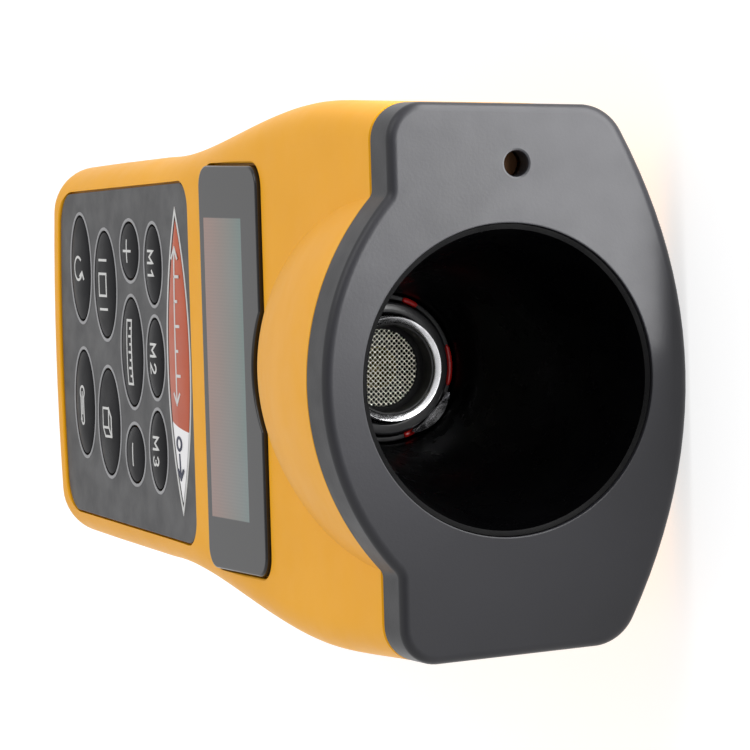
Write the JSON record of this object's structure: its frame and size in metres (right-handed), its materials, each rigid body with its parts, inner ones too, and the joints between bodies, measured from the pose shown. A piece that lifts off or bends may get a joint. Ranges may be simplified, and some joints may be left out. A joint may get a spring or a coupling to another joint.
{
  "type": "laser distance meter",
  "caption": "Handheld ultrasonic distance meter with a laser pointer: a horn in the nose of a tapered body, a display window under a dome, and a keypad with press keys.",
  "frame": {"origin": "middle of the bounding box in X and Y, lowest point (back of the head) in Z", "axes": "-Y the way the horn and the laser point, +Z the way the keypad faces, X across; the laser is on the +X side"},
  "size_m": [0.0724, 0.1414, 0.0503],
  "materials": {
    "yellow_plastic": "satin, fine spark texture",
    "black_plastic": "satin",
    "gloss_black_plastic": "polished",
    "window": "glossy, printed dark on the back",
    "lcd_glass": "grey reflective display",
    "light_guide": "milky",
    "zebra_rubber": "matt",
    "key_black": "satin domed",
    "key_red": "satin domed, white towards one tip",
    "silicone_mat": "matt",
    "grey_plastic": "satin",
    "red_silicone": "satin",
    "circuit_board": "green solder mask",
    "chip_black": "moulded",
    "copper_can": "plated",
    "aluminium": "brushed",
    "woven_mesh": "fine woven mesh",
    "brass": "turned",
    "lens_glass": "polished",
    "battery_wrap": "wrapped metal can with air inside",
    "vinyl": "soft vinyl",
    "red_wire": "insulated copper",
    "black_wire": "insulated copper",
    "screw_steel": "zinc"
  },
  "bodies": {
    "housing": {"upper_housing": "yellow_plastic", "lower_housing": "yellow_plastic", "front_bezel": "black_plastic", "horn": "gloss_black_plastic", "transducer_can": "aluminium", "transducer_mesh": "woven_mesh", "transducer_base": "black_plastic", "transducer_seal": "red_silicone", "transducer_collar": "grey_plastic", "laser_barrel": "brass", "laser_lens": "lens_glass", "laser_clamp": "black_plastic", "display_window": "window", "lcd_glass": "lcd_glass", "lcd_backlight": "light_guide", "zebra_strip_near": "zebra_rubber", "zebra_strip_far": "zebra_rubber", "lcd_frame": "black_plastic", "keypad_overlay": "black_plastic", "key_mat": "silicone_mat", "main_board": "circuit_board", "microcontroller": "chip_black", "amplifier_chip": "chip_black", "drive_transformer": "copper_can", "crystal": "aluminium", "buzzer": "chip_black", "filter_capacitor": "chip_black", "battery": "battery_wrap", "battery_snap": "vinyl", "battery_lead_red": "red_wire", "battery_lead_black": "black_wire", "transducer_lead_red": "red_wire", "transducer_lead_black": "black_wire", "laser_lead_red": "red_wire", "laser_lead_black": "black_wire", "housing_screw_1": "screw_steel", "housing_screw_2": "screw_steel", "housing_screw_3": "screw_steel", "housing_screw_4": "screw_steel", "board_screw_1": "screw_steel", "board_screw_2": "screw_steel"},
    "door": {"battery_door": "yellow_plastic"},
    "measure_key": {"key_measure": "key_red"},
    "memory_1_key": {"key_memory_1": "key_black"},
    "memory_2_key": {"key_memory_2": "key_black"},
    "memory_3_key": {"key_memory_3": "key_black"},
    "plus_key": {"key_plus": "key_black"},
    "unit_key": {"key_unit": "key_black"},
    "minus_key": {"key_minus": "key_black"},
    "area_key": {"key_area": "key_black"},
    "volume_key": {"key_volume": "key_black"},
    "recall_key": {"key_recall": "key_black"},
    "temperature_key": {"key_temperature": "key_black"}
  },
  "joints": [
    {"name": "battery_door_slide", "type": "slide", "parent": "housing", "child": "door", "axis": [0, 1, 0], "range_m": [0, 0.012]},
    {"name": "key_measure_press", "type": "slide", "parent": "housing", "child": "measure_key", "axis": [0, 0, -1], "range_m": [0, 0.0005], "stiffness_N_per_m": 200, "springref_m": -0.0005},
    {"name": "key_memory_1_press", "type": "slide", "parent": "housing", "child": "memory_1_key", "axis": [0, 0, -1], "range_m": [0, 0.0005], "stiffness_N_per_m": 200, "springref_m": -0.0005},
    {"name": "key_memory_2_press", "type": "slide", "parent": "housing", "child": "memory_2_key", "axis": [0, 0, -1], "range_m": [0, 0.0005], "stiffness_N_per_m": 200, "springref_m": -0.0005},
    {"name": "key_memory_3_press", "type": "slide", "parent": "housing", "child": "memory_3_key", "axis": [0, 0, -1], "range_m": [0, 0.0005], "stiffness_N_per_m": 200, "springref_m": -0.0005},
    {"name": "key_plus_press", "type": "slide", "parent": "housing", "child": "plus_key", "axis": [0, 0, -1], "range_m": [0, 0.0005], "stiffness_N_per_m": 200, "springref_m": -0.0005},
    {"name": "key_unit_press", "type": "slide", "parent": "housing", "child": "unit_key", "axis": [0, 0, -1], "range_m": [0, 0.0005], "stiffness_N_per_m": 200, "springref_m": -0.0005},
    {"name": "key_minus_press", "type": "slide", "parent": "housing", "child": "minus_key", "axis": [0, 0, -1], "range_m": [0, 0.0005], "stiffness_N_per_m": 200, "springref_m": -0.0005},
    {"name": "key_area_press", "type": "slide", "parent": "housing", "child": "area_key", "axis": [0, 0, -1], "range_m": [0, 0.0005], "stiffness_N_per_m": 200, "springref_m": -0.0005},
    {"name": "key_volume_press", "type": "slide", "parent": "housing", "child": "volume_key", "axis": [0, 0, -1], "range_m": [0, 0.0005], "stiffness_N_per_m": 200, "springref_m": -0.0005},
    {"name": "key_recall_press", "type": "slide", "parent": "housing", "child": "recall_key", "axis": [0, 0, -1], "range_m": [0, 0.0005], "stiffness_N_per_m": 200, "springref_m": -0.0005},
    {"name": "key_temperature_press", "type": "slide", "parent": "housing", "child": "temperature_key", "axis": [0, 0, -1], "range_m": [0, 0.0005], "stiffness_N_per_m": 200, "springref_m": -0.0005}
  ]
}
